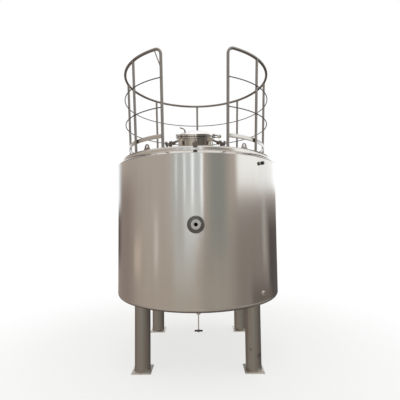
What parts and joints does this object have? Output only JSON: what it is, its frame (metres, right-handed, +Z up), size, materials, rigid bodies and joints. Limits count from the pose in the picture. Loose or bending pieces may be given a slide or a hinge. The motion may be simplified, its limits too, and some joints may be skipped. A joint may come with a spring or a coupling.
{
  "type": "vertical storage tank",
  "caption": "Vertical stainless storage tank on tube legs, with a hinged round manway, swing bolts, a guard rail round the top, ports and a bottom outlet.",
  "frame": {"origin": "on the floor, midway between the four feet, under the body's axis", "axes": "+Z up along the body's axis, -Y to the front where the guard rail is open, +X to the right seen from the front"},
  "size_m": [1.984, 2.014, 3.456],
  "materials": {
    "body_shell": "brushed stainless steel, grain running round the wall",
    "bottom_head": "brushed stainless steel",
    "shoulder_ring": "brushed stainless steel",
    "top_head": "brushed stainless steel",
    "leg_front_left": "satin stainless steel",
    "leg_front_right": "satin stainless steel",
    "leg_rear_left": "satin stainless steel",
    "leg_rear_right": "satin stainless steel",
    "base_plate_front_left": "satin stainless steel",
    "base_plate_front_right": "satin stainless steel",
    "base_plate_rear_left": "satin stainless steel",
    "base_plate_rear_right": "satin stainless steel",
    "handrail": "satin stainless tube",
    "rail_post_left_front": "satin stainless tube",
    "rail_post_left_mid": "satin stainless tube",
    "rail_post_left_rear": "satin stainless tube",
    "rail_post_rear": "satin stainless tube",
    "rail_post_right_rear": "satin stainless tube",
    "rail_post_right_mid": "satin stainless tube",
    "rail_post_right_front": "satin stainless tube",
    "mid_rail_upper": "satin stainless rod",
    "mid_rail_lower": "satin stainless rod",
    "toe_board": "bright stainless strip",
    "corner_brace": "satin stainless rod",
    "lug_front_left": "satin stainless steel",
    "lug_front_right": "satin stainless steel",
    "lug_rear_left": "satin stainless steel",
    "lug_rear_right": "satin stainless steel",
    "manway_neck": "polished stainless steel",
    "manway_gasket": "soft black seal",
    "hinge_bracket": "polished stainless steel",
    "front_port_ring": "dull dark steel with turned ridges",
    "front_port_ferrule": "turned stainless steel",
    "upper_port": "turned stainless steel",
    "upper_port_cap": "black moulded plastic",
    "lower_port": "turned stainless steel",
    "outlet_boss": "turned stainless steel",
    "manway_lid": "polished stainless steel",
    "lid_handle": "satin stainless rod",
    "swing_bolt_1": "dull stainless bolt with a turned hand nut",
    "swing_bolt_2": "dull stainless bolt with a turned hand nut",
    "swing_bolt_3": "dull stainless bolt with a turned hand nut",
    "swing_bolt_4": "dull stainless bolt with a turned hand nut",
    "swing_bolt_5": "dull stainless bolt with a turned hand nut",
    "swing_bolt_6": "dull stainless bolt with a turned hand nut",
    "outlet_stem": "turned stainless rod",
    "outlet_handle": "black moulded plastic"
  },
  "bodies": {
    "tank": {"body_shell": "body_shell", "bottom_head": "bottom_head", "shoulder_ring": "shoulder_ring", "top_head": "top_head", "leg_front_left": "leg_front_left", "leg_front_right": "leg_front_right", "leg_rear_left": "leg_rear_left", "leg_rear_right": "leg_rear_right", "base_plate_front_left": "base_plate_front_left", "base_plate_front_right": "base_plate_front_right", "base_plate_rear_left": "base_plate_rear_left", "base_plate_rear_right": "base_plate_rear_right", "handrail": "handrail", "rail_post_left_front": "rail_post_left_front", "rail_post_left_mid": "rail_post_left_mid", "rail_post_left_rear": "rail_post_left_rear", "rail_post_rear": "rail_post_rear", "rail_post_right_rear": "rail_post_right_rear", "rail_post_right_mid": "rail_post_right_mid", "rail_post_right_front": "rail_post_right_front", "mid_rail_upper": "mid_rail_upper", "mid_rail_lower": "mid_rail_lower", "toe_board": "toe_board", "corner_brace": "corner_brace", "lug_front_left": "lug_front_left", "lug_front_right": "lug_front_right", "lug_rear_left": "lug_rear_left", "lug_rear_right": "lug_rear_right", "manway_neck": "manway_neck", "manway_gasket": "manway_gasket", "hinge_bracket": "hinge_bracket", "front_port_ring": "front_port_ring", "front_port_ferrule": "front_port_ferrule", "upper_port": "upper_port", "upper_port_cap": "upper_port_cap", "lower_port": "lower_port", "outlet_boss": "outlet_boss"},
    "lid": {"manway_lid": "manway_lid", "lid_handle": "lid_handle"},
    "swing_bolt_1": {"swing_bolt_1": "swing_bolt_1"},
    "swing_bolt_2": {"swing_bolt_2": "swing_bolt_2"},
    "swing_bolt_3": {"swing_bolt_3": "swing_bolt_3"},
    "swing_bolt_4": {"swing_bolt_4": "swing_bolt_4"},
    "swing_bolt_5": {"swing_bolt_5": "swing_bolt_5"},
    "swing_bolt_6": {"swing_bolt_6": "swing_bolt_6"},
    "outlet_plug": {"outlet_stem": "outlet_stem", "outlet_handle": "outlet_handle"}
  },
  "joints": [
    {"name": "lid_hinge", "type": "hinge", "parent": "tank", "child": "lid", "pos_m": [0.262, -0.63322, 2.53253], "axis": [0, 0.9703, 0.2419], "range_deg": [0, 90]},
    {"name": "swing_bolt_1_hinge", "type": "hinge", "parent": "tank", "child": "swing_bolt_1", "pos_m": [0, -0.83313, 2.44146], "axis": [-1, 0, 0], "range_deg": [0, 105.8]},
    {"name": "swing_bolt_2_hinge", "type": "hinge", "parent": "tank", "child": "swing_bolt_2", "pos_m": [0.18706, -0.72834, 2.46759], "axis": [-0.5, -0.8403, -0.2095], "range_deg": [0, 105]},
    {"name": "swing_bolt_3_hinge", "type": "hinge", "parent": "tank", "child": "swing_bolt_3", "pos_m": [0.18706, -0.51876, 2.51984], "axis": [0.5, -0.8403, -0.2095], "range_deg": [0, 110.5]},
    {"name": "swing_bolt_4_hinge", "type": "hinge", "parent": "tank", "child": "swing_bolt_4", "pos_m": [0, -0.41396, 2.54597], "axis": [1, 0, 0], "range_deg": [0, 102.5]},
    {"name": "swing_bolt_5_hinge", "type": "hinge", "parent": "tank", "child": "swing_bolt_5", "pos_m": [-0.18706, -0.51876, 2.51984], "axis": [0.5, 0.8403, 0.2095], "range_deg": [0, 110.5]},
    {"name": "swing_bolt_6_hinge", "type": "hinge", "parent": "tank", "child": "swing_bolt_6", "pos_m": [-0.18706, -0.72834, 2.46759], "axis": [-0.5, 0.8403, 0.2095], "range_deg": [0, 105]},
    {"name": "outlet_turn", "type": "hinge", "parent": "tank", "child": "outlet_plug", "pos_m": [0, 0, 0.197], "axis": [0, 0, 1], "range_deg": [0, 90]}
  ]
}
